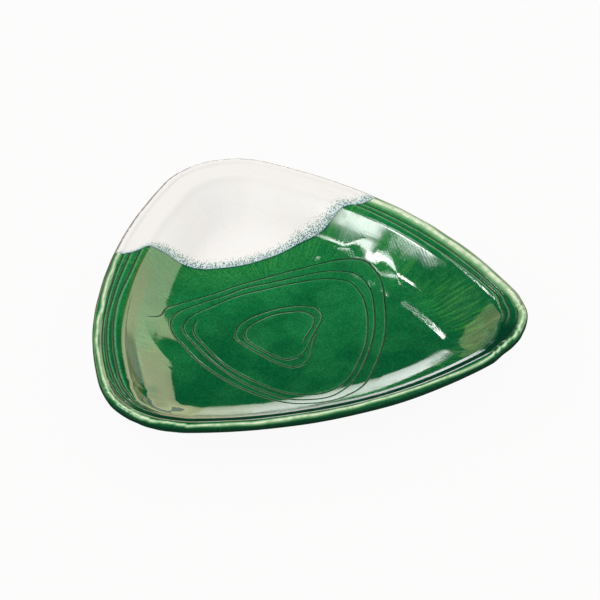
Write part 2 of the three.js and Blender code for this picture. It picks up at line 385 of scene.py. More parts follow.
@dataclass(frozen=True)
class PenLine:
    """A line scribed freehand round a point, as a smooth curve through its bends. The bends are
    (degrees, mm), and the degrees run on past 360 for each further turn."""

    bends: tuple[tuple[float, float], ...]
    taper: float = 7.0

    @property
    def start(self) -> float:
        """Where the line starts, in degrees."""
        return self.bends[0][0]

    @property
    def end(self) -> float:
        """Where the line ends, in degrees."""
        return self.bends[-1][0]

    def radius(self, angle: np.ndarray) -> np.ndarray:
        """Radius in metres at an angle in degrees, running on past 360."""
        at, reach = np.array(self.bends).T
        return MM * curve(at, reach, angle)

    def depth(self, angle: np.ndarray) -> np.ndarray:
        """How deep the pen goes: it eases in at the start and out at the end.

        Args:
            angle: degrees, running on past 360.

        Returns:
            The depth's share, from 0 to 1.
        """
        first = smoothstep(self.start, self.start + self.taper, angle)
        last = 1 - smoothstep(self.end - self.taper, self.end, angle)
        return first * last


def closed_line(*bends: tuple[float, float]) -> PenLine:
    """A pen line that closes on itself after one turn, given by the (degrees, mm) bends of that turn."""
    return PenLine(tuple((a + 360 * k, r) for k in range(-1, 4) for a, r in bends))


@dataclass(frozen=True)
class RimLine:
    """A line round the flange, with its distance inside the outline and its depth by direction. The
    depth's 1 mm stands for the full depth."""

    inset: Waver
    depth: Waver


@dataclass(frozen=True)
class Scribing:
    """The lines that a blunt point left in the soft clay: two spirals on the floor, and three lines
    round the flange."""

    middle: tuple[float, float] = (2.35 * MM, -0.85 * MM)
    wrap: float = 140.0
    half_width: float = 0.58 * MM
    depth: float = 0.3 * MM
    burr: float = 0.03 * MM
    rim_lines: tuple[RimLine, ...] = (
        RimLine(
            Waver(((147, 12.7), (155, 10.7), (170, 11), (200, 12.2), (250, 12.7), (280, 13.8), (300, 11.9),
                   (320, 13.2), (345, 13.4), (370, 10.8), (382, 12.3), (394, 11.9), (440, 12))),
            Waver(((138, 0), (147, 1), (205, 0.8), (235, 0.15), (325, 0.1), (345, 0.9), (398, 1),
                   (412, 0))),
        ),
        RimLine(
            Waver(((147, 8.9), (152, 8.4), (158, 7.8), (165, 7.7), (172, 8.7), (200, 9.2), (260, 9),
                   (330, 10), (350, 9.5), (370, 8), (380, 8.3), (394, 9), (440, 9))),
            Waver(((138, 0), (147, 1), (200, 0.8), (228, 0), (322, 0), (342, 0.9), (398, 1), (412, 0))),
        ),
        RimLine(
            Waver(((147, 5.8), (155, 5.8), (165, 5), (180, 6.5), (210, 6), (320, 5.8), (350, 5.2),
                   (395, 4.2), (440, 5))),
            Waver(((138, 0), (147, 1), (190, 0.9), (215, 0), (325, 0), (345, 0.6), (395, 0.5),
                   (410, 0))),
        ),
    )
    inner: PenLine = PenLine((
        (273, 16.4), (288, 13.2), (318, 11.6), (350, 13.3), (378, 16.7), (396, 17.1), (436, 14.8),
        (474, 16.5), (500, 19.8), (521, 25.8), (536, 28.2), (568, 26.5), (590, 28), (606, 29.6),
        (630, 23.4), (640, 19.6), (652, 16.8), (680, 14.9), (706, 16.3), (738, 22.4), (751, 23.7),
        (770, 21.6), (806, 19.4), (846, 22.4), (880, 31.2), (894, 33.7), (912, 31.5), (930, 30.2),
        (958, 33.8), (973, 36.8), (984, 33.9), (1002, 22.9), (1016, 18.4), (1040, 16.9),
    ))
    outer: PenLine = PenLine((
        (151, 55.3), (160, 57.2), (182, 52.5), (204, 51.6), (228, 54), (254, 61.9), (267, 63.8),
        (280, 60.3), (300, 51), (320, 46.4), (340, 45), (362, 47.8), (380, 52.8), (391, 55.2),
        (401, 52.4), (422, 43.6), (450, 39.3), (480, 44.3), (499, 51.6), (511, 60.3), (518, 63),
        (538, 57.6), (560, 55.4), (594, 60.7), (616, 68), (628, 69.6), (642, 63.4), (664, 53.3),
        (694, 48.8), (722, 52.8), (740, 60), (752, 63.2), (763, 59.9), (784, 48.7), (806, 44),
        (826, 46.1), (844, 49.8), (858, 58.4), (868, 67.4), (876, 70.5), (898, 64.1), (924, 61.2),
        (958, 66.2), (976, 73), (988, 75), (1000, 72), (1024, 60.5), (1054, 55.4), (1084, 60.4),
        (1102, 69.5), (1113, 72.3), (1124, 69.4), (1144, 56.2), (1164, 49.9), (1190, 51), (1208, 56.9),
        (1222, 68.8), (1229, 74.4), (1237, 77.2), (1244, 87),
    ))

    def groove(self, distance: np.ndarray) -> np.ndarray:
        """Cross profile: a round-bottomed groove, one half cosine wide, with a low burr at each side.

        Args:
            distance: distance from the groove's middle.

        Returns:
            Height against the plain clay.
        """
        across = np.clip(np.abs(distance) / self.half_width, 0, 1)
        bed = -self.depth * (0.5 + 0.5 * np.cos(math.pi * across))
        beside = (np.abs(distance) - 1.5 * self.half_width) / (0.7 * self.half_width)
        return bed + self.burr * np.exp(-(beside**2))

    def ridge(self, distance: np.ndarray) -> np.ndarray:
        """The edge on one side of a groove, from 0 to 1: where the glaze lies thin over the burr, and
        where the green glaze gets a painted highlight.
        """
        return np.exp(-(((distance - 1.5 * self.half_width) / (0.55 * self.half_width)) ** 2))


def closed_mesh(name: str, points: np.ndarray, triangles: np.ndarray) -> bpy.types.Mesh:
    """A smooth Blender mesh from whole arrays.

    Args:
        name: the mesh's name.
        points: points by 3.
        triangles: index triples.

    Returns:
        The mesh.
    """
    mesh = bpy.data.meshes.new(name)
    mesh.vertices.add(len(points))
    mesh.vertices.foreach_set("co", points.astype(np.float32).ravel())
    mesh.loops.add(triangles.size)
    mesh.loops.foreach_set("vertex_index", triangles.astype(np.int32).ravel())
    mesh.polygons.add(len(triangles))
    mesh.polygons.foreach_set("loop_start", np.arange(0, triangles.size, 3, dtype=np.int32))
    mesh.update(calc_edges=True)
    mesh.polygons.foreach_set("use_smooth", np.ones(len(triangles), bool))
    return mesh


@dataclass
class Surface:
    """A sheet of triangles with values at its points.

    Args:
        outer: the points of the seen face.
        inner: the same points on the hidden face.
        triangles: index triples, turning left seen from outside.
        values: named values at each point.
    """

    outer: np.ndarray
    inner: np.ndarray
    triangles: np.ndarray
    values: dict[str, np.ndarray] = field(default_factory=dict)

    @staticmethod
    def from_grid(outer: np.ndarray, inner: np.ndarray, values: dict[str, np.ndarray]) -> "Surface":
        """Two triangles for each cell of a (row, column) grid, with equal points merged.

        Args:
            outer: points of the seen face, as rows by columns by 3.
            inner: the hidden face's points.
            values: named values, as rows by columns.

        Returns:
            The sheet, without the triangles that merging left without an area.
        """
        rows, columns = outer.shape[:2]
        index = np.arange(rows * columns).reshape(rows, columns)
        a, b = index[:-1, :-1].ravel(), index[:-1, 1:].ravel()
        c, d = index[1:, :-1].ravel(), index[1:, 1:].ravel()
        triangles = np.concatenate([np.stack([a, c, b], 1), np.stack([b, c, d], 1)])
        points = outer.reshape(-1, 3)
        keys = np.round(points / (2e-3 * MM)).astype(np.int64)
        _, first, where = np.unique(keys, axis=0, return_index=True, return_inverse=True)
        triangles = where.ravel()[triangles]
        whole = (triangles != np.roll(triangles, 1, axis=1)).all(1)
        kept = {name: value.reshape(-1)[first] for name, value in values.items()}
        return Surface(points[first], inner.reshape(-1, 3)[first], triangles[whole], kept)

    def part(self, name: str, sign: int) -> "Surface":
        """The part where a value has one sign, cut exactly along the line where it is 0.

        Each triangle that the line crosses has one corner alone on its side. The line's two points on
        that corner's edges give one triangle at the corner and two beyond it.

        Args:
            name: the value.
            sign: 1 or -1.

        Returns:
            The cut sheet.
        """
        value = np.where(np.abs(self.values[name]) < 1e-9, 1e-9, self.values[name])
        above = value[self.triangles] > 0
        count = above.sum(1)
        wanted = 3 if sign > 0 else 0
        whole = self.triangles[count == wanted]
        crossed = (count == 1) | (count == 2)
        mixed = self.triangles[crossed]
        lone_above = count[crossed] == 1
        lone = np.argmax(value[mixed] * np.where(lone_above, 1, -1)[:, None], axis=1)
        turn = (lone[:, None] + np.arange(3)) % 3
        corner, left, right = np.take_along_axis(mixed, turn, 1).T
        edges = np.stack([np.tile(corner, 2), np.concatenate([left, right])], 1)
        edges = np.sort(edges, axis=1)
        unique, where = np.unique(edges, axis=0, return_inverse=True)
        share = value[unique[:, 0]] / (value[unique[:, 0]] - value[unique[:, 1]])
        new = len(self.outer) + where.ravel()
        on_left, on_right = new[: len(corner)], new[len(corner):]
        takes_lone = lone_above == (sign > 0)
        tip = np.stack([corner, on_left, on_right], 1)[takes_lone]
        rest = ~takes_lone
        near = np.stack([on_left, left, right], 1)[rest]
        far = np.stack([on_left, right, on_right], 1)[rest]

        def cut(points: np.ndarray) -> np.ndarray:
            """The points with the new ones on the line after them."""
            weight = share.reshape((-1,) + (1,) * (points.ndim - 1))
            made = points[unique[:, 0]] * (1 - weight) + points[unique[:, 1]] * weight
            return np.concatenate([points, made])

        triangles = np.concatenate([whole, tip, near, far])
        used, renamed = np.unique(triangles, return_inverse=True)
        values = {key: cut(item)[used] for key, item in self.values.items()}
        return Surface(cut(self.outer)[used], cut(self.inner)[used], renamed.reshape(-1, 3), values)

    def rim(self) -> np.ndarray:
        """The edges that only one triangle has.

        Returns:
            Index pairs, in that triangle's direction.
        """
        edges = self.triangles[:, [0, 1, 1, 2, 2, 0]].reshape(-1, 2)
        _, where, count = np.unique(np.sort(edges, 1), axis=0, return_inverse=True, return_counts=True)
        return edges[count[where.ravel()] == 1]

    def mesh(self, name: str) -> bpy.types.Mesh:
        """The closed body between the seen and the hidden face, with a wall along the rim.

        Args:
            name: the mesh's name.

        Returns:
            A Blender mesh, smooth but for the rim's edges, with the values as attributes.
        """
        count = len(self.outer)
        start, stop = self.rim().T
        wall = np.concatenate([
            np.stack([start, start + count, stop], 1),
            np.stack([stop, start + count, stop + count], 1),
        ])
        triangles = np.concatenate([self.triangles, self.triangles[:, ::-1] + count, wall])
        mesh = closed_mesh(name, np.concatenate([self.outer, self.inner]), triangles)
        ends = np.zeros(len(mesh.edges) * 2, np.int32)
        mesh.edges.foreach_get("vertices", ends)
        ends = ends.reshape(-1, 2)
        on_rim = np.zeros(2 * count, bool)
        on_rim[np.concatenate([start, start + count])] = True
        side = np.repeat([0, 1], count)
        sharp = on_rim[ends].all(1) & (side[ends[:, 0]] == side[ends[:, 1]])
        mesh.attributes.new("sharp_edge", "BOOLEAN", "EDGE").data.foreach_set("value", sharp)
        for key, item in self.values.items():
            spread = np.concatenate([item, item]).astype(np.float32)
            mesh.attributes.new(key, "FLOAT", "POINT").data.foreach_set("value", spread)
        mesh.validate()
        return mesh


def grid_mesh(name: str, grid: np.ndarray) -> bpy.types.Mesh:
    """The mesh of one grid of points, as rows by columns by 3."""
    sheet = Surface.from_grid(grid, grid, {})
    return closed_mesh(name, sheet.outer, sheet.triangles)


@dataclass
class GlazeCoat:
    """The coat of glaze over the whole seen face, the lip and the underside down to the foot, before it
    is parted into the green and the white."""

    outline: Outline
    section: Section
    wall: WallForm
    scribing: Scribing
    corner_steps: int = 36
    side_steps: int = 54
    thickness: float = 0.6 * MM
    inner_gap: float = -0.05 * MM
    crest_inset: float = 2.2 * MM
    lip_length: float = 9 * MM
    # The brown arris lines: clay showing through, and painted shade along the silhouette.
    low_arris: float = 7.4 * MM
    top_arris: float = 1.5 * MM
    loose_length: float = 18 * MM
    shoulder_inset: float = 17.2 * MM
    end_inset: float = 37.5 * MM
    # Where the pale crest lies, and how wide: thin glaze on the lip, with a painted highlight whose place
    # moves with direction round the plate.
    pale_inset: Waver = Waver((
        (150, 3), (168, 2.8), (185, 2.2), (210, 1.8), (230, 1.3), (300, 1.6), (330, 2.2), (350, 2.8),
        (375, 3.2), (400, 3), (440, 2.5), (490, 2.5),
    ))
    pale_width: Waver = Waver((
        (150, 1.0), (205, 0.9), (216, 1.4), (230, 0.8), (252, 0.8), (262, 1.1), (280, 0.8), (310, 0.9),
        (335, 1.5), (352, 2.6), (375, 3.4), (400, 3.4), (440, 1.5),
    ))
    # The top arris's brown line, on the far side where it is the silhouette: painted shade, given the
    # colour of clay showing through.
    far_edge: Waver = Waver(((150, 1), (166, 0), (335, 0), (352, 1)))
    # Strength of the painted shade on the near flange, by direction.
    painted_shade: Waver = Waver(((170, 0), (205, 0.6), (235, 1), (320, 1), (335, 0.5), (350, 0)))
    seam: tuple[tuple[float, float], ...] = (
        (-130, 75), (-96, 75), (-86, 73.6), (-78, 71.2), (-70, 71.3), (-58, 74.8), (-40, 71.6),
        (-21, 66.6), (-3, 64.3), (17, 66.5), (34, 70.8), (49, 69), (60, 71.5), (72, 69), (84, 70),
        (130, 66),
    )

    def seam_distance(self, x: np.ndarray, y: np.ndarray) -> np.ndarray:
        """Distance beyond the seam along y: positive on the white side."""
        at, rise = np.array(self.seam).T * MM
        return y - curve(at, rise, x)

    def spiral_rows(
        self, line: PenLine, low: np.ndarray, high: np.ndarray, turn: np.ndarray
    ) -> tuple[np.ndarray, np.ndarray, np.ndarray]:
        """Rows that run along a spiral, so that its groove has points on its bed and its edges.

        The band between the closed lines low and high is cut into strips by the spiral's turns. Before
        the spiral starts, its first row rises from low at the wrap to the same share of the strip that
        the spiral starts at. After it ends, its last row rises from its share there to high, and so the
        rows of one turn meet the next turn's at the wrap.

        Args:
            line: the spiral.
            low: radius of the closed line inside it, by column.
            high: radius of the closed line outside it.
            turn: the columns' angles in degrees, from the wrap to one turn later.

        Returns:
            Radius, groove height and ridge of the rows, as rows by columns.
        """
        turns = int((line.end - self.scribing.wrap) // 360) + 1
        bounds = [low] + [line.radius(turn + 360 * k) for k in range(turns)] + [high]
        depths = [np.zeros_like(low)] + [line.depth(turn + 360 * k) for k in range(turns)]
        depths.append(np.zeros_like(low))

        def share_at(angle: float, inside: np.ndarray, here: np.ndarray, outside: np.ndarray) -> float:
            """A row's share of the way from the row inside it to the row outside, at an angle."""
            ends = [float(np.interp(angle, turn, row)) for row in (inside, here, outside)]
            return (ends[1] - ends[0]) / (ends[2] - ends[0])

        first = share_at(line.start, *bounds[:3])
        hidden = bounds[0] + (bounds[2] - bounds[0]) * first * smoothstep(turn[0], line.start, turn)
        bounds[1] = np.where(turn < line.start, hidden, bounds[1])
        last_end = line.end - 360 * (turns - 1)
        last = share_at(last_end, *bounds[-3:])
        risen = last + (1 - last) * smoothstep(last_end, turn[-1], turn)
        hidden = bounds[-3] + (bounds[-1] - bounds[-3]) * risen
        bounds[-2] = np.where(turn > last_end, hidden, bounds[-2])

        steps = np.array([0, 0.45, 1.0, 1.5, 2.3])[:, None] * self.scribing.half_width
        shares = np.array([0, 0.1, 0.2, 0.3, 0.4])[:, None]
        radii, heights, ridges = [], [], []
        for inside, outside, before, after in zip(bounds, bounds[1:], depths, depths[1:]):
            away = np.minimum(steps, shares * (outside - inside))
            back = away[:0:-1]
            radii += [inside + away, outside - back]
            heights += [before * self.scribing.groove(away), after * self.scribing.groove(back)]
            ridges += [np.zeros_like(away), after * self.scribing.ridge(back)]
        return np.concatenate(radii), np.concatenate(heights), np.concatenate(ridges)

    def well(self, direction: np.ndarray) -> tuple[np.ndarray, np.ndarray, np.ndarray, np.ndarray]:
        """The plan of the floor and the wall, on straight columns from the spirals' middle to the
        shoulder.

        Args:
            direction: the columns' directions square to the outline, for one turn and its first again.

        Returns:
            Plan x and y, the grooves' height, and their ridges, as rows by columns.
        """
        x0, y0 = self.scribing.middle
        x1, y1 = self.outline.point(direction, np.full_like(direction, self.shoulder_inset))
        reach = np.hypot(x1 - x0, y1 - y0)
        turn = np.degrees(np.unwrap(np.arctan2(y1 - y0, x1 - x0)))
        turn += 360 * round((self.scribing.wrap - turn[0]) / 360)
        loops = [
            closed_line((30, 12), (90, 10.5), (165, 12), (240, 11.5), (318, 8.5)),
            closed_line((30, 28.5), (92, 25.5), (168, 38.5), (208, 36.5), (252, 41), (290, 27),
                        (325, 22.5)),
            closed_line((32, 50), (60, 40), (91, 35), (125, 43), (157, 53), (205, 47.5), (250, 56),
                        (268, 58), (295, 47), (331, 41), (360, 43.5)),
            closed_line((35, 84), (60, 68), (95, 60), (130, 71), (163, 94), (205, 74), (240, 78),
                        (268, 86), (295, 74), (331, 65), (360, 71)),
        ]
        inside, between, around, beyond = [item.radius(turn) for item in loops]

        def plain(low: np.ndarray, high: np.ndarray, count: int) -> tuple[np.ndarray, ...]:
            """Evenly spaced rows from low up to high, without high itself."""
            share = np.linspace(0, 1, count, endpoint=False)[:, None]
            none = np.zeros((count, len(low)))
            return low + share * (high - low), none, none

        bands = [
            plain(np.zeros_like(reach), inside, 4),
            self.spiral_rows(self.scribing.inner, inside, between, turn),
            plain(between, around, 6),
            self.spiral_rows(self.scribing.outer, around, beyond, turn),
            plain(beyond, reach, 20),
            plain(reach, reach, 1),
        ]
        radius, groove, ridge = [np.concatenate(rows) for rows in zip(*bands)]
        share = radius / reach
        return x0 + share * (x1 - x0), y0 + share * (y1 - y0), groove, ridge

    def rim_rows(
        self, direction: np.ndarray, seen: Callable, shoulder: float, end: float
    ) -> tuple[np.ndarray, ...]:
        """Rows over the flange, the lip and the underside, close together at each rim line.

        Args:
            direction: the columns' directions.
            seen: gives the length along the section at an inset on the seen face.
            shoulder: length along the section where the rows start.
            end: length along the section where the coat ends.

        Returns:
            Length along the section, groove height and ridge, as rows by columns, and the crest's length.
        """
        width = self.scribing.half_width
        cluster = np.array([-1.5, -1.0, -0.45, 0, 0.45, 1.0, 1.5])[:, None] * width
        crest = seen(self.crest_inset)

        def between(low: np.ndarray, high: np.ndarray, count: int) -> np.ndarray:
            """Rows between two, without either."""
            low, high = np.broadcast_to(low, direction.shape), np.broadcast_to(high, direction.shape)
            return low + np.linspace(0, 1, count + 2)[1:-1, None] * (high - low)

        at = [seen(line.inset.at(direction)) for line in self.scribing.rim_lines]
        last = shoulder
        rows = [np.full((1, len(direction)), shoulder)]
        for middle, count in zip(at, (5, 3, 3)):
            rows += [between(last, middle + cluster[0], count), middle + cluster]
            last = middle + cluster[-1]
        lip_foot = crest + self.lip_length
        rows += [between(last, crest, 8), between(crest - 0.1 * MM, lip_foot, 24)]
        rows += [between(lip_foot, end, 22), np.full((1, len(direction)), end)]
        s = np.concatenate(rows)
        depth = [line.depth.at(direction) / MM for line in self.scribing.rim_lines]
        groove = sum(deep * self.scribing.groove(s - middle) for deep, middle in zip(depth, at))
        ridge = sum(deep * self.scribing.ridge(middle - s) for deep, middle in zip(depth, at))
        return s, groove, ridge, crest

    def build(self) -> Surface:
        """The floor and wall as a height over the plan, then the flange, the lip and the underside as the
        section carried round the outline.

        Returns:
            The coat as one sheet, with the values that the glazes' colours go by.
        """
        direction = self.outline.directions(self.corner_steps, self.side_steps)
        wrap = math.radians(self.scribing.wrap)
        direction = np.sort((direction - wrap) % (2 * math.pi)) + wrap
        direction = np.append(direction, direction[0] + 2 * math.pi)
        clay = self.section.line()
        faces = {"outer": shifted(clay, self.thickness), "inner": shifted(clay, self.inner_gap)}
        along = np.concatenate([[0], np.cumsum(np.hypot(*np.diff(clay, axis=0).T))])
        lip_end = int(np.argmin(clay[:, 0]))
        shoulder = float(np.interp(-self.shoulder_inset, -faces["outer"][:lip_end, 0], along[:lip_end]))
        end = float(np.interp(self.end_inset, clay[lip_end:, 0], along[lip_end:]))

        def seen(inset: np.ndarray) -> np.ndarray:
            """Length along the section where the seen face has an inset."""
            return np.interp(-np.asarray(inset), -clay[:lip_end, 0], along[:lip_end])

        s, groove, rim_ridge, crest = self.rim_rows(direction, seen, shoulder, end)
        crest_sway = ripple(direction, range(5, 88), 0.16 * MM, 7) - 0.2 * MM
        edge_sway = ripple(direction, range(5, 40), 0.1 * MM, 11) - 0.12 * MM
        hand = np.minimum(crest_sway, 0) * np.exp(-(((s - crest) / (2.6 * MM)) ** 2))
        hand = hand + np.minimum(edge_sway, 0) * np.exp(-(((s - crest - 7 * MM) / (2.4 * MM)) ** 2))
        low_edge = ripple(direction, range(3, 40), 1.0 * MM, 21)
        s = s + low_edge * smoothstep(crest + self.loose_length, end, s)
        x, y, cut, ridge = self.well(direction)
        inset = self.outline.inset(x, y)
        sides = {}
        for name, face in faces.items():
            fall = face[:lip_end]
            height = np.interp(-inset, -fall[:, 0], fall[:, 1])
            height = height + self.undulation(x, y, inset) + self.wall.rise(direction, inset)
            if name == "outer":
                height = height + cut
            plan = np.stack([x, y, height], -1)
            at, level, in_by, up_by = [
                np.interp(s, along, part) for part in (*face.T, *square_to(face).T)
            ]
            push = hand + (groove if name == "outer" else 0)
            rim_x, rim_y = self.outline.point(np.broadcast_to(direction, s.shape), at + in_by * push)
            rim = np.stack([rim_x, rim_y, level + up_by * push], -1)
            sides[name] = np.concatenate([plan[:-1], rim])
        seen_x, seen_y = sides["outer"][..., 0], sides["outer"][..., 1]
        none = np.zeros_like(cut[:-1])
        bare = self.bare_lines(direction, s, seen, crest)
        values = {
            "seam": self.seam_distance(seen_x, seen_y),
            "line": np.clip(-np.concatenate([cut[:-1], groove]) / self.scribing.depth, 0, 1),
            "ridge": np.concatenate([ridge[:-1], rim_ridge]),
            "inset": self.outline.inset(seen_x, seen_y),
        }
        values.update({name: np.concatenate([none, value]) for name, value in bare.items()})
        for side in sides.values():
            side[..., :2] -= self.outline.middle
        return Surface.from_grid(sides["outer"], sides["inner"], values)

    def bare_lines(
        self, direction: np.ndarray, s: np.ndarray, seen: Callable, crest: float
    ) -> dict[str, np.ndarray]:
        """Where the lip's crest is pale, as thin glaze and painted highlight, where its arrises are brown,
        and where painted shade darkens the near flange and the lip's outer face.

        Args:
            direction: the columns' directions.
            s: length along the section, as rows by columns.
            seen: gives the length along the section at an inset on the seen face.
            crest: length along the section at the crest.

        Returns:
            The values for the pale crest (thin glaze and painted highlight), edge (the brown arris: clay
            showing through and painted shade along the silhouette) and the painted shade on the near
            flange and the lip's outer face.
        """
        # The pale crest: thin glaze and painted highlight.
        sway = ripple(direction, range(9, 100), 0.28 * MM, 33)
        pale_at = seen(self.pale_inset.at(direction) + sway)
        away = s - pale_at
        inner = self.pale_width.at(direction)
        width = np.where(away < 0, inner, np.minimum(inner, 1.3 * MM))
        # Brown arris lines: clay showing through, and painted shade along the silhouette.
        low_arris = np.exp(-(((s - crest - self.low_arris) / (1.1 * MM)) ** 2))
        far = self.far_edge.at(direction) / MM
        top_arris = far * np.exp(-(((s - crest - self.top_arris) / (1.2 * MM)) ** 2))
        # Painted shade: the near flange by direction, and the lip's outer face from below the crest round
        # the underside.
        shade_share = self.painted_shade.at(direction) / MM * smoothstep(crest - 14 * MM, crest - 11 * MM, s)
        return {
            "thin_and_highlight": np.exp(-((away / width) ** 2)),
            "edge": np.maximum(low_arris, top_arris),
            "shade_share": shade_share * (1 - smoothstep(crest - 2 * MM, crest, s))
            + smoothstep(crest + 1.6 * MM, crest + 4 * MM, s),
        }

    def undulation(self, x: np.ndarray, y: np.ndarray, inset: np.ndarray) -> np.ndarray:
        """Slow unevenness of the pressed floor and wall: three crossing waves, faded out towards the
        shoulder.

        Args:
            x: plan x.
            y: plan y.
            inset: distance inside the outline.

        Returns:
            Height to add.
        """
        waves = (
            np.sin(x / (9 * MM) + 1.3 * np.sin(y / (17 * MM)))
            + np.sin(y / (11 * MM) + 1.7 * np.cos(x / (14 * MM)))
            + np.sin((x + y) / (19 * MM))
        )
        return 0.03 * MM * waves * smoothstep(self.shoulder_inset, 30 * MM, inset)


@dataclass
class ClayBody:
    """The pressed slab of clay: floor, wall, flange and lip, and the bare underside."""

    outline: Outline
    section: Section
    wall: WallForm
    hidden: float = 0.35 * MM
    sunk: float = 2 * MM
    wall_top: tuple[float, float] = (17 * MM, 23 * MM)
    wall_foot: tuple[float, float] = (46 * MM, 40 * MM)
    end_inset: float = 37.5 * MM

    def mesh(self, name: str) -> bpy.types.Mesh:
        """The section carried round the outline. Under the glaze it is drawn in a little, and sunk a
        little more under the wall, so that the coat's hidden face lies in clear space.

        Args:
            name: the mesh's name.

        Returns:
            The closed mesh.
        """
        clay = self.section.line()
        lip_end = int(np.argmin(clay[:, 0]))
        under = np.arange(len(clay)) > lip_end
        bare = smoothstep(self.end_inset - 7 * MM, self.end_inset - 2 * MM, clay[:, 0]) * under
        drawn = shifted(clay, -self.hidden)
        line = drawn + (clay - drawn) * bare[:, None]
        grid, direction, inset = self.outline.carried(line)
        covered = smoothstep(*self.wall_top, inset) * smoothstep(*self.wall_foot, inset)
        lift = self.wall.rise(direction, inset) - self.sunk * covered
        grid[..., 2] += lift * ~under[:, None]
        return grid_mesh(name, grid)


@dataclass
class FootRing:
    """The low ring luted under the floor, that the plate stands on."""

    outline: Outline
    outer_inset: float = 42 * MM
    width: float = 8 * MM
    draft: float = 0.8 * MM
    edge: float = 1.6 * MM
    top: float = 5.0 * MM

    def line(self) -> np.ndarray:
        """Closed section: down the outer side, round the edge, across the foot, and up the inner side."""
        outer, inner = self.outer_inset, self.outer_inset + self.width
        turn = np.linspace(0, math.pi / 2, 7)
        down = np.stack([outer + self.edge * (1 - np.cos(turn)), self.edge * (1 - np.sin(turn))], 1)
        back = np.stack([inner - self.edge * (1 - np.cos(turn)), self.edge * (1 - np.sin(turn))], 1)
        first = [[outer - self.draft, self.top], [outer - self.draft / 2, self.top * 0.66]]
        last = [[inner + self.draft / 2, self.top * 0.66], [inner + self.draft, self.top]]
        return np.concatenate([first, down, back[::-1], last])

    def mesh(self, name: str) -> bpy.types.Mesh:
        """The section carried round the outline, with both ends of the section joined on top."""
        line = self.line()
        return grid_mesh(name, self.outline.carried(np.concatenate([line, line[:1]]))[0])


class Tree:
    """Builds a node tree: each call adds a node, and a value that is a socket becomes a link."""

    def __init__(self, tree: bpy.types.NodeTree) -> None:
        """Starts from an empty tree."""
        self.tree = tree
        tree.nodes.clear()

    def give(self, socket: bpy.types.NodeSocket, value: object) -> None:
        """Sets a socket, or links it when the value is a socket too.

        Args:
            socket: the input.
            value: what goes in.
        """
        if isinstance(value, bpy.types.NodeSocket):
            self.tree.links.new(value, socket)
        else:
            socket.default_value = value

    def add(self, kind: str, *values: object, **settings: object) -> bpy.types.Node:
        """Adds a node.

        Args:
            kind: the node's type, without "ShaderNode".
            values: one for each input from the first on.
            settings: the node's properties, and "inputs" as a dictionary by socket name.

        Returns:
            The node.
        """
        node = self.tree.nodes.new(kind if kind.startswith("NodeGroup") else "ShaderNode" + kind)
        named = settings.pop("inputs", {})
        for key, value in settings.items():
            setattr(node, key, value)
        for key, value in [*enumerate(values), *named.items()]:
            self.give(node.inputs[key], value)
        return node

    def math(self, operation: str, *values: object, clamp: bool = False) -> bpy.types.NodeSocket:
        """A Math node's result."""
        return self.add("Math", *values, operation=operation, use_clamp=clamp).outputs[0]

    def times(self, one: object, other: object) -> bpy.types.NodeSocket:
        """A product."""
        return self.math("MULTIPLY", one, other)

    def times_plus(self, one: object, other: object, more: object) -> bpy.types.NodeSocket:
        """A product with something added."""
        return self.math("MULTIPLY_ADD", one, other, more)

    def vector(self, operation: str, *values: object) -> bpy.types.NodeSocket:
        """A Vector Math node's vector."""
        return self.add("VectorMath", *values, operation=operation).outputs[0]

    def scaled(self, vector: object, scale: object) -> bpy.types.NodeSocket:
        """A vector times a number."""
        return self.add("VectorMath", vector, operation="SCALE", inputs={"Scale": scale}).outputs[0]

    def ramp(self, value: object, low: float, high: float, start: float = 0, stop: float = 1) -> object:
        """A smooth rise from start at low to stop at high."""
        node = self.add("MapRange", value, low, high, start, stop, interpolation_type="SMOOTHSTEP")
        return node.outputs[0]

    def noise(self, where: object, size: float, detail: float = 2, rough: float = 0.5) -> object:
        """Noise with features of about a size in metres."""
        inputs = {"Vector": where, "Scale": 1 / size, "Detail": detail, "Roughness": rough}
        return self.add("TexNoise", inputs=inputs).outputs["Fac"]

    def cells(self, where: object, size: float, loose: float = 1.0, feature: str = "F1") -> object:
        """Distance in a pattern of cells of about a size in metres."""
        inputs = {"Vector": where, "Scale": 1 / size, "Randomness": loose}
        return self.add("TexVoronoi", feature=feature, inputs=inputs).outputs["Distance"]

    def noise_colour(self, where: object, size: float) -> object:
        """A noise's three values less a half, to bend coordinates with."""
        noise = self.add("TexNoise", inputs={"Vector": where, "Scale": 1 / size, "Detail": 1.0})
        return self.vector("SUBTRACT", noise.outputs["Color"], (0.5, 0.5, 0.5))

    def mix(self, share: object, one: object, other: object, blend: str = "MIX") -> object:
        """A mix of two colours.

        Args:
            share: how much of the other, from 0 to 1.
            one: the first colour.
            other: the other colour.
            blend: how the other is laid on.

        Returns:
            The mixed colour's socket.
        """
        node = self.add("Mix", data_type="RGBA", blend_type=blend)
        for index, value in ((0, share), (6, one), (7, other)):
            self.give(node.inputs[index], value)
        return node.outputs[2]

    def grey(self, level: object) -> object:
        """A grey of a level."""
        return self.add("CombineColor", level, level, level).outputs[0]

    def bands(self, value: object, stops: list[tuple[float, tuple]]) -> object:
        """A colour ramp.

        Args:
            value: what it is read at.
            stops: (position, colour) in rising order.

        Returns:
            The colour's socket.
        """
        ramp = self.add("ValToRGB", value)
        points = ramp.color_ramp.elements
        points[0].position, points[0].color = stops[0]
        points[1].position, points[1].color = stops[-1]
        for position, level in stops[1:-1]:
            points.new(position).color = level
        return ramp.outputs[0]

    def value(self, name: str) -> object:
        """A named value of the mesh."""
        return self.add("Attribute", attribute_name=name).outputs["Fac"]

    def where(self) -> object:
        """Object coordinates."""
        return self.add("TexCoord").outputs["Object"]

    def group(self, tree: bpy.types.NodeTree, **inputs: object) -> bpy.types.Node:
        """A node group with its inputs by name."""
        return self.add("Group", node_tree=tree, inputs=inputs)


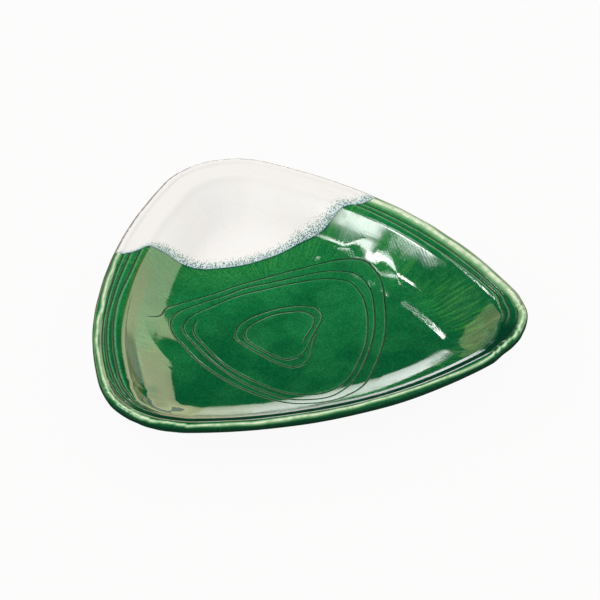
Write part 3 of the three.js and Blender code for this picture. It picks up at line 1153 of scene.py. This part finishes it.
def new_group(name: str, takes: dict[str, str], gives: dict[str, str]) -> tuple[Tree, object]:
    """An empty node group.

    Args:
        name: its name.
        takes: its inputs' types by name.
        gives: its outputs' types by name.

    Returns:
        The tree and its input node.
    """
    tree = bpy.data.node_groups.new(name, "ShaderNodeTree")
    for side, sockets in (("INPUT", takes), ("OUTPUT", gives)):
        for label, kind in sockets.items():
            tree.interface.new_socket(label, in_out=side, socket_type="NodeSocket" + kind)
    build = Tree(tree)
    return build, build.add("NodeGroupInput")


def colour(red: float, green: float, blue: float) -> tuple[float, float, float, float]:
    """A colour as seen on screen.

    Args:
        red: 0 to 255.
        green: 0 to 255.
        blue: 0 to 255.

    Returns:
        The linear values that a socket takes.
    """
    levels = [channel / 255 for channel in (red, green, blue)]
    linear = [c / 12.92 if c <= 0.04045 else ((c + 0.055) / 1.055) ** 2.4 for c in levels]
    return (*linear, 1.0)


def cloth_mark() -> bpy.types.NodeTree:
    """Group: the print of the cloth that the slab was rolled on, as two crossing sets of threads that
    waver and fade in patches. Gives a height from 0 to 1.

    Returns:
        The group.
    """
    build, takes = new_group("cloth_mark", {"Where": "Vector"}, {"Height": "Float"})
    where = takes.outputs["Where"]
    waver = build.noise(where, 12 * MM, 2)
    x, y = build.add("SeparateXYZ", where).outputs[:2]
    pitch = 2 * math.pi / (1.25 * MM)
    threads = []
    for axis in (x, y):
        phase = build.times_plus(axis, pitch, build.times(waver, 14.0))
        threads.append(build.times_plus(build.math("SINE", phase), 0.5, 0.5))
    crossing = build.times(*threads)
    patches = build.ramp(build.noise(where, 16 * MM, 3, 0.6), 0.38, 0.66)
    height = build.times(crossing, patches)
    build.add("NodeGroupOutput", height)
    return build.tree


def glaze_skin() -> bpy.types.NodeTree:
    """Group: what both glazes' surfaces have. Gives a slow cloudiness, a fine grain, streaks that run
    down the wall, and the height of the glaze's own unevenness, with combed ridges along the wall.

    Returns:
        The group.
    """
    gives = dict.fromkeys(("Cloud", "Grain", "Streaks", "Height"), "Float")
    build, takes = new_group("glaze_skin", {"Where": "Vector", "Inset": "Float"}, gives)
    where, inset = takes.outputs["Where"], takes.outputs["Inset"]
    cloud = build.noise(where, 34 * MM, 4, 0.55)
    grain = build.noise(where, 1.1 * MM, 3, 0.6)
    flat = build.vector("MULTIPLY", where, (1, 1, 0))
    spoke = build.scaled(build.vector("NORMALIZE", flat), 0.09)
    streaks = build.noise(build.vector("MULTIPLY_ADD", flat, (0.07, 0.07, 0.07), spoke), 1.3 * MM, 3, 0.6)
    along = build.add("CombineXYZ", 0.0, 0.0, inset).outputs[0]
    combed_at = build.vector("MULTIPLY_ADD", flat, (0.04, 0.04, 0.04), along)
    combed = build.noise(combed_at, 1.4 * MM, 2, 0.6)
    on_wall = build.times(build.ramp(inset, 16 * MM, 20 * MM), build.ramp(inset, 50 * MM, 44 * MM))
    ridges = build.times(combed, on_wall)
    swell = build.noise(where, 13 * MM, 1, 0.5)
    knead = build.noise(where, 4.5 * MM, 2, 0.5)
    height = build.times(swell, 0.03 * MM)
    for part, rise in ((knead, 0.008 * MM), (ridges, 0.012 * MM), (grain, 0.005 * MM)):
        height = build.times_plus(part, rise, height)
    build.add("NodeGroupOutput", cloud, grain, streaks, height)
    return build.tree


def arris_wear_and_shade() -> bpy.types.NodeTree:
    """Group: the share of the brown arris colour, in ragged stretches: clay that shows through, and
    painted shade along the silhouette.

    Returns:
        The group.
    """
    build, takes = new_group("arris_wear_and_shade", {"Edge": "Float", "Ragged": "Float"}, {"Share": "Float"})
    edge, ragged = takes.outputs["Edge"], takes.outputs["Ragged"]
    wear_and_shade = build.times(edge, build.ramp(ragged, 0.3, 0.6, 0.7, 1.1))
    build.add("NodeGroupOutput", build.ramp(wear_and_shade, 0.3, 0.85, 0, 0.85))
    return build.tree


@dataclass(frozen=True)
class Effects:
    """The node groups that both glazes use."""

    skin: bpy.types.NodeTree
    cloth: bpy.types.NodeTree
    arris: bpy.types.NodeTree


def new_material(name: str) -> tuple[bpy.types.Material, Tree]:
    """An empty material.

    Args:
        name: its name.

    Returns:
        The material and its tree.
    """
    made = bpy.data.materials.new(name)
    made.use_nodes = True
    return made, Tree(made.node_tree)


def finish(name: str, build: Tree, tint: object, height: object, inputs: dict[str, object]) -> None:
    """Ends a material's tree with a bumped surface.

    Args:
        name: the shader node's label.
        build: the tree.
        tint: colour socket.
        height: bump height, in metres.
        inputs: the shader's other inputs by name, where an IOR level of 0.5 is clear glass.
    """
    bump = build.add("Bump", inputs={"Height": height, "Strength": 1.0, "Distance": 1.0})
    inputs = {"Base Color": tint, "Normal": bump.outputs[0], **inputs}
    surface = build.add("BsdfPrincipled", label=name, inputs=inputs)
    build.add("OutputMaterial", surface.outputs[0])


@dataclass(frozen=True)
class GreenGlaze:
    """Copper green glaze: darkened by painted shade on the near flange and the lip's outer face, pale
    where it runs thin off an edge and where a painted highlight lies on the crest.
    """

    slot: Slot = Slot.GREEN_GLAZE
    deep: tuple = colour(10, 90, 50)
    bright: tuple = colour(22, 118, 62)
    yellowish: tuple = colour(84, 164, 70)
    speck: tuple = colour(70, 160, 96)
    # Painted reflection on the upper left wall.
    painted_reflection_olive: tuple = colour(96, 104, 40)
    dark: tuple = colour(2, 40, 24)
    border: tuple = colour(10, 66, 58)
    # Colour of the painted shade on the near flange and the lip's outer face.
    painted_shade: tuple = colour(8, 50, 34)
    # Pale line on the grooves' inner edges: thin glaze and painted highlight.
    ridge: tuple = colour(96, 172, 112)
    # Pale crest greens: thin glaze and painted highlight.
    thin_and_lit_green: tuple = colour(132, 184, 128)
    cream: tuple = colour(226, 236, 206)
    # Brown arris: clay showing through, and painted shade along the silhouette.
    shaded_clay_edge: tuple = colour(96, 82, 74)

    def material(self, effects: Effects) -> bpy.types.Material:
        """Mixes the greens: lighter towards the seam, pale on the crest as thin glaze and painted
        highlight, darker as painted shade on the near flange and the lip's outer face, with a painted
        reflection high on the left wall.

        Args:
            effects: the groups that both glazes use.

        Returns:
            The material.
        """
        made, build = new_material("copper_green_glaze")
        where = build.where()
        inset, seam = build.value("inset"), build.value("seam")
        surface = build.group(effects.skin, Where=where, Inset=inset)
        print_height = build.group(effects.cloth, Where=where).outputs["Height"]
        # Lighter green towards the seam, darker away from it, in cloudy patches.
        depth = build.times_plus(seam, 1 / 0.25, surface.outputs["Cloud"])
        tint = build.mix(build.ramp(depth, -0.02, 0.5), self.deep, self.bright)
        on_wall = build.times(build.ramp(inset, 44 * MM, 30 * MM), build.ramp(inset, 14 * MM, 18 * MM))
        near_seam = build.ramp(seam, -30 * MM, -2 * MM)
        run = build.ramp(surface.outputs["Streaks"], 0.42, 0.7)
        patches = build.ramp(surface.outputs["Cloud"], 0.42, 0.6)
        light = build.math("MAXIMUM", build.times(on_wall, patches), near_seam)
        tint = build.mix(build.times(run, build.times(light, 0.5)), tint, self.yellowish)
        tint = build.mix(build.times(print_height, 0.34), tint, self.speck)
        grain = build.grey(build.ramp(surface.outputs["Grain"], 0.3, 0.7, 0.72, 1.28))
        tint = build.mix(1.0, tint, grain, "MULTIPLY")
        # Painted shade on the near flange and the lip's outer face.
        tint = build.mix(build.times(build.value("shade_share"), 0.85), tint, self.painted_shade)
        # Painted reflection: an olive band high on the left wall.
        high = build.times(build.ramp(inset, 23.5 * MM, 22.5 * MM), build.ramp(inset, 14 * MM, 16 * MM))
        left = build.ramp(build.add("SeparateXYZ", where).outputs[0], -55 * MM, -75 * MM, 0, 0.55)
        tint = build.mix(build.times(high, left), tint, self.painted_reflection_olive)
        tint = build.mix(build.ramp(seam, -1.2 * MM, -0.2 * MM), tint, self.border)
        line = build.value("line")
        tint = build.mix(build.ramp(line, 0.05, 0.5, 0, 0.95), tint, self.dark)
        # A pale line on each groove's inner edge: thin glaze over the burr, and a painted highlight.
        flecks = build.noise(where, 2.6 * MM, 3, 0.65)
        ridge = build.times(build.value("ridge"), build.ramp(flecks, 0.3, 0.6, 0.35, 1))
        on_rim = build.ramp(inset, 17 * MM, 14 * MM, 0.5, 1)
        tint = build.mix(build.times(ridge, on_rim), tint, self.ridge)
        # The pale crest: thin glaze with a painted highlight on it.
        ragged = build.noise(where, 5 * MM, 3, 0.6)
        crest = build.times(build.value("thin_and_highlight"), build.ramp(ragged, 0.3, 0.65, 0.85, 1.1))
        tint = build.mix(build.ramp(crest, 0.02, 0.65), tint, self.thin_and_lit_green)
        tint = build.mix(build.ramp(crest, 0.62, 1.05), tint, self.cream)
        # Brown arris: clay showing through, and painted shade along the silhouette.
        wear_and_shade = build.group(effects.arris, Edge=build.value("edge"), Ragged=ragged)
        tint = build.mix(wear_and_shade.outputs["Share"], tint, self.shaded_clay_edge)
        height = build.times_plus(print_height, 0.02 * MM, surface.outputs["Height"])
        rough = build.ramp(surface.outputs["Grain"], 0.35, 0.75, 0.04, 0.08)
        rough = build.math("MAXIMUM", rough, build.ramp(line, 0.02, 0.3, 0, 0.45))
        inputs = {"Roughness": rough, "IOR": GLASS_IOR, "Specular IOR Level": 0.5}
        finish("copper_green_glaze", build, tint, height, inputs)
        return made


@dataclass(frozen=True)
class WhiteGlaze:
    """Milk white glaze. Where it overlaps the green it breaks into a band of blue-green dots. The
    crackle is the cells' size in metres."""

    slot: Slot = Slot.WHITE_GLAZE
    crackle: float = 1 / 62
    # The well's white is lighter than the flange's: painted light that offsets the well's shade.
    milk: tuple = colour(253, 251, 248)
    warm: tuple = colour(252, 248, 244)
    flange: tuple = colour(244, 241, 237)
    mist: tuple = colour(184, 214, 216)
    dots: tuple = colour(66, 132, 104)
    dense: tuple = colour(34, 104, 92)
    hairline: tuple = colour(240, 234, 228)
    # Brown arris: clay showing through, and painted shade along the silhouette.
    shaded_clay_edge: tuple = colour(120, 106, 98)

    def material(self, effects: Effects) -> bpy.types.Material:
        """Mixes dots into the white by the distance from the seam.

        Args:
            effects: the groups that both glazes use.

        Returns:
            The material.
        """
        made, build = new_material("milk_white_glaze")
        where = build.where()
        inset, seam = build.value("inset"), build.value("seam")
        surface = build.group(effects.skin, Where=where, Inset=inset)
        print_height = build.group(effects.cloth, Where=where).outputs["Height"]
        on_right = build.ramp(build.add("SeparateXYZ", where).outputs[0], 10 * MM, 50 * MM)
        narrow = build.times_plus(on_right, 8 * MM, 5 * MM)
        width = build.ramp(inset, 13 * MM, 24 * MM, narrow, 14 * MM)
        ragged = build.noise(where, 3 * MM, 3, 0.6)
        away = build.math("DIVIDE", seam, width)
        away = build.math("ADD", away, build.times_plus(ragged, 0.4, -0.2))
        tint = build.mix(build.ramp(surface.outputs["Cloud"], 0.3, 0.7), self.milk, self.warm)
        # Darker white on the flange than in the well, because the well's white is lightened as painted
        # light against its shade.
        tint = build.mix(build.ramp(inset, 20 * MM, 14 * MM), tint, self.flange)
        cracks = build.cells(where, self.crackle, feature="DISTANCE_TO_EDGE")
        tint = build.mix(build.ramp(cracks, 0.0, 0.012, 0.4, 0), tint, self.hairline)
        tint = build.mix(build.ramp(away, 0.55, 0.0, 0, 0.7), tint, self.mist)
        bent = build.vector("MULTIPLY_ADD", build.noise_colour(where, 2 * MM), (0.9 * MM,) * 3, where)
        cells = build.cells(bent, 0.98 * MM, 0.75)
        size = build.ramp(away, 1.0, 0.2, 0.0, 0.5)
        dot = build.ramp(build.math("SUBTRACT", size, cells), -0.03, 0.1)
        blotch = build.mix(build.ramp(away, 0.5, 0.1), self.dots, self.dense)
        on_floor = build.ramp(inset, 13 * MM, 22 * MM, build.times_plus(on_right, 0.5, 0.35), 0.9)
        tint = build.mix(build.times(dot, on_floor), tint, blotch)
        tint = build.mix(build.ramp(seam, 0.9 * MM, 0.1 * MM, 0, 0.7), tint, self.dense)
        # Brown arris: clay showing through, and painted shade along the silhouette.
        wear_and_shade = build.group(effects.arris, Edge=build.value("edge"), Ragged=ragged)
        tint = build.mix(wear_and_shade.outputs["Share"], tint, self.shaded_clay_edge)
        height = build.times_plus(print_height, 0.01 * MM, surface.outputs["Height"])
        rough = build.ramp(surface.outputs["Grain"], 0.35, 0.75, 0.14, 0.22)
        inputs = {"Roughness": rough, "IOR": GLASS_IOR, "Specular IOR Level": 0.2}
        finish("milk_white_glaze", build, tint, height, inputs)
        return made


@dataclass(frozen=True)
class BareClay:
    """Unglazed sandy stoneware, toasted where the glaze ends."""

    slot: Slot = Slot.BARE_CLAY
    light: tuple = colour(201, 181, 156)
    toasted: tuple = colour(168, 128, 96)
    grit: tuple = colour(96, 74, 60)

    def material(self) -> bpy.types.Material:
        """Sandy grain with dark grit.

        Returns:
            The material.
        """
        made, build = new_material("bare_stoneware")
        where = build.where()
        cloud = build.noise(where, 30 * MM, 4, 0.6)
        grain = build.noise(where, 0.8 * MM, 4, 0.7)
        tint = build.mix(build.ramp(cloud, 0.35, 0.7), self.light, self.toasted)
        tint = build.mix(build.ramp(grain, 0.3, 0.75, 0, 0.4), tint, self.toasted)
        cells = build.cells(where, 3.2 * MM)
        tint = build.mix(build.ramp(cells, 0.06, 0.12, 0.8, 0), tint, self.grit)
        height = build.times(grain, 0.16 * MM)
        finish("bare_stoneware", build, tint, height, {"Roughness": 0.88})
        return made


@dataclass(frozen=True)
class Spot:
    """A light patch that only reflections see: a rectangle on the sky, turned by its slope.

    Azimuth counts from straight away from the camera, positive to the right. All in degrees but glow,
    where 1 is white."""

    azimuth: float
    elevation: float
    length: float
    width: float
    slope: float
    soft: float
    glow: float


@dataclass
class Studio:
    """Camera, floor, sky and lamp. The backdrop is (azimuth, brightness, tone) stops, and ends at the
    elevation top, which a hump and two steps raise or lower by azimuth. Angles are in degrees."""

    look: tuple[float, float, float] = (5.63 * MM, -21.6 * MM, 35.6 * MM)
    azimuth: float = -19.98
    elevation: float = 38.52
    distance: float = 3.0
    lens: float = 309.6
    sky: float = 0.93
    floor_seen: float = 0.94
    floor_mirrored: float = 0.9
    lit_point: tuple[float, float, float] = (0, 0, 20 * MM)
    lamp_azimuth: float = -97
    lamp_elevation: float = 48
    lamp_distance: float = 1.5
    lamp_size: tuple[float, float] = (0.7, 0.6)
    lamp_glow: float = 2.6
    backdrop: tuple[tuple[float, float, tuple[float, float, float]], ...] = (
        (-180, 0.15, (1, 1, 1)), (-73, 0.15, (1, 1, 1)), (-68, 1.5, (1, 0.9, 0.5)),
        (-31, 1.5, (1, 0.9, 0.5)), (-27, 0.3, (1, 1, 1)), (-10, 0.3, (1, 1, 1)), (-8, 6.5, (1, 1, 1)),
        (-4.5, 4.8, (1, 1, 1)), (-2.7, 4.4, (1, 1, 0.97)), (-2, 3.2, (1, 0.9, 0.56)),
        (34, 3.0, (1, 0.92, 0.6)), (38, 2.7, (0.97, 1, 0.7)), (60, 2.7, (0.97, 1, 0.72)),
        (75, 0.3, (1, 1, 1)), (180, 0.15, (1, 1, 1)),
    )
    top: float = 24.0
    hump: tuple[float, float] = (10, 18)
    hump_end: tuple[float, float] = (38, 33)
    hump_height: float = 3.0
    top_steps: tuple[tuple[float, float, float], ...] = ((-26, -34, 8), (-3, -9, -4))
    spots: tuple[Spot, ...] = (
        Spot(-91.5, 40.4, 12, 4, -37, 0.4, 26),
        Spot(-106.5, 43.4, 9, 2.4, -20, 2.0, 19),
        Spot(-84, 51.5, 14, 1.5, 0, 1, 18),
        Spot(-17.7, 47.9, 11.5, 0.8, -24, 0.3, 26),
    )

    def direction(self, azimuth: float, elevation: float) -> Vector:
        """Unit vector towards a place on the sky.

        Args:
            azimuth: degrees from straight away from the camera, positive to the right.
            elevation: degrees.

        Returns:
            The vector.
        """
        turn = math.radians(self.azimuth) - math.radians(azimuth)
        rise = math.radians(elevation)
        return Vector((-math.sin(turn) * math.cos(rise), math.cos(turn) * math.cos(rise), math.sin(rise)))

    def hung(self, name: str, data: bpy.types.ID, middle: Vector, away: Vector) -> bpy.types.Object:
        """Hangs a camera or lamp away from a point, looking back at it.

        Args:
            name: the object's name.
            data: the camera or lamp.
            middle: the point.
            away: from the point to the object.

        Returns:
            The object.
        """
        made = bpy.data.objects.new(name, data)
        made.location = middle + away
        made.rotation_euler = away.to_track_quat("Z", "Y").to_euler()
        bpy.context.collection.objects.link(made)
        return made

    def camera(self) -> None:
        """Places the camera at the photograph's viewing angle."""
        data = bpy.data.cameras.new("camera")
        data.lens = self.lens
        data.sensor_width = 36
        data.clip_end = 50
        back = -self.direction(0, -self.elevation)
        bpy.context.scene.camera = self.hung("camera", data, Vector(self.look), back * self.distance)

    def floor(self) -> None:
        """A wide flat floor. The camera sees it mostly as plain white, with the plate's shadow on it."""
        span = np.linspace(-3, 3, 7)
        x, y = np.meshgrid(span, span)
        grid = np.stack([x, y, np.zeros_like(x)], -1)[::-1]
        made = bpy.data.objects.new("floor", grid_mesh("floor", grid))
        bpy.context.collection.objects.link(made)
        paint, build = new_material("floor_paint")
        plain = build.add("BsdfDiffuse", (0.6, 0.57, 0.54, 1))
        path = build.add("LightPath")
        glow = build.add("Emission", build.grey(path.outputs["Is Camera Ray"]), 1.0)
        share = build.times(path.outputs["Is Camera Ray"], self.floor_seen)
        mirrored = build.times(path.outputs["Is Glossy Ray"], self.floor_mirrored)
        share = build.math("MAXIMUM", share, mirrored)
        mixed = build.add("MixShader", share, plain.outputs[0], glow.outputs[0])
        build.add("OutputMaterial", mixed.outputs[0])
        made.data.materials.append(paint)

    def world(self) -> None:
        """Even light from all round. Reflections see a backdrop that is bright and of changing colour
        just above the horizon, a dark room over it, and the spots."""
        world = bpy.data.worlds.new("studio")
        world.use_nodes = True
        bpy.context.scene.world = world
        build = Tree(world.node_tree)
        way = build.add("TexCoord").outputs["Generated"]
        height = build.add("SeparateXYZ", way).outputs[2]
        up = build.times(build.math("ARCSINE", height), math.degrees(1))
        parts = []
        for azimuth in (90, 0):
            axis = tuple(self.direction(azimuth, 0))
            parts.append(build.add("VectorMath", way, axis, operation="DOT_PRODUCT").outputs["Value"])
        turn = build.times(build.math("ARCTAN2", *parts), math.degrees(1))
        hump = build.times(build.ramp(turn, *self.hump), build.ramp(turn, *self.hump_end))
        top = build.times_plus(hump, self.hump_height, self.top)
        for start, stop, rise in self.top_steps:
            top = build.math("ADD", top, build.ramp(turn, start, stop, 0, rise))
        shown = build.ramp(build.math("SUBTRACT", top, up), -1.2, 1.2)
        brightest = max(level for _, level, _ in self.backdrop)
        stops = [
            ((at + 180) / 360, (*(level / brightest * part for part in tone), 1.0))
            for at, level, tone in self.backdrop
        ]
        tone = build.bands(build.times_plus(turn, 1 / 360, 0.5), stops)
        mirrored = build.scaled(tone, build.times(shown, brightest))
        for spot in self.spots:
            mirrored = build.vector("ADD", mirrored, build.grey(self.spot_mask(build, spot, turn, up)))
        path = build.add("LightPath")
        even = build.grey(build.times_plus(path.outputs["Is Camera Ray"], 1 - self.sky, self.sky))
        seen = build.mix(path.outputs["Is Glossy Ray"], even, mirrored)
        lit = build.add("Background", seen, 1.0)
        build.add("OutputWorld", lit.outputs[0])

    def spot_mask(self, build: Tree, spot: Spot, turn: object, up: object) -> object:
        """A spot's brightness at a direction.

        Args:
            build: the world's tree.
            spot: the spot.
            turn: azimuth socket, in degrees.
            up: elevation socket, in degrees.

        Returns:
            The brightness socket.
        """
        slope = math.radians(spot.slope)
        narrowing = math.cos(math.radians(spot.elevation))
        across = build.times(build.math("SUBTRACT", turn, spot.azimuth), narrowing)
        rise = build.math("SUBTRACT", up, spot.elevation)
        sides = []
        for cosine, sine, size in (
            (math.cos(slope), math.sin(slope), spot.length / 2),
            (-math.sin(slope), math.cos(slope), spot.width / 2),
        ):
            place = build.times_plus(rise, sine, build.times(across, cosine))
            sides.append(build.ramp(build.math("ABSOLUTE", place), size + spot.soft, size))
        return build.times(build.times(*sides), spot.glow)

    def lamp(self) -> None:
        """An area lamp turned to the plate, which reflections don't see. Its power is its glow, where 1
        is white, times pi times its area."""
        data = bpy.data.lights.new("softbox", "AREA")
        data.shape = "RECTANGLE"
        width, height = self.lamp_size
        data.size, data.size_y = width, height
        data.energy = self.lamp_glow * math.pi * width * height
        way = self.direction(self.lamp_azimuth, self.lamp_elevation) * self.lamp_distance
        self.hung("softbox", data, Vector(self.lit_point), way).visible_glossy = False

    def build(self) -> None:
        """Sets up the whole studio."""
        scene = bpy.context.scene
        scene.view_settings.view_transform = "Standard"
        self.camera()
        self.floor()
        self.world()
        self.lamp()


def place(name: str, mesh: bpy.types.Mesh, material: bpy.types.Material, slot: Slot, node: str) -> None:
    """Puts a piece into the scene in place of its CAD node.

    Args:
        name: the piece's name.
        mesh: its mesh.
        material: its finish.
        slot: the record's slot; not used.
        node: the CAD node.
    """
    piece = bpy.data.objects.new(name, mesh)
    bpy.context.collection.objects.link(piece)
    mesh.materials.append(material)
    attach(piece, BODY)
    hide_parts(node)
    log.info("%s: %d triangles", name, len(mesh.polygons))


def main() -> None:
    """Builds the clay, the coat in its two parts, and the studio."""
    logging.basicConfig(level=logging.INFO, format="%(name)s %(message)s")
    outline = Outline()
    section = Section()
    wall = WallForm()
    clay = BareClay()
    clay_material = clay.material()
    body = ClayBody(outline, section, wall).mesh("plate_clay")
    place("plate_clay", body, clay_material, clay.slot, "clay_body")
    place("foot", FootRing(outline).mesh("foot"), clay_material, clay.slot, "foot_ring")
    effects = Effects(glaze_skin(), cloth_mark(), arris_wear_and_shade())
    coat = GlazeCoat(outline, section, wall, Scribing()).build()
    green, white = GreenGlaze(), WhiteGlaze()
    green_mesh = coat.part("seam", -1).mesh("green_coat")
    white_mesh = coat.part("seam", 1).mesh("white_coat")
    place("green_coat", green_mesh, green.material(effects), green.slot, "green_glaze")
    place("white_coat", white_mesh, white.material(effects), white.slot, "white_glaze")
    Studio().build()


if __name__ == "__main__":
    main()
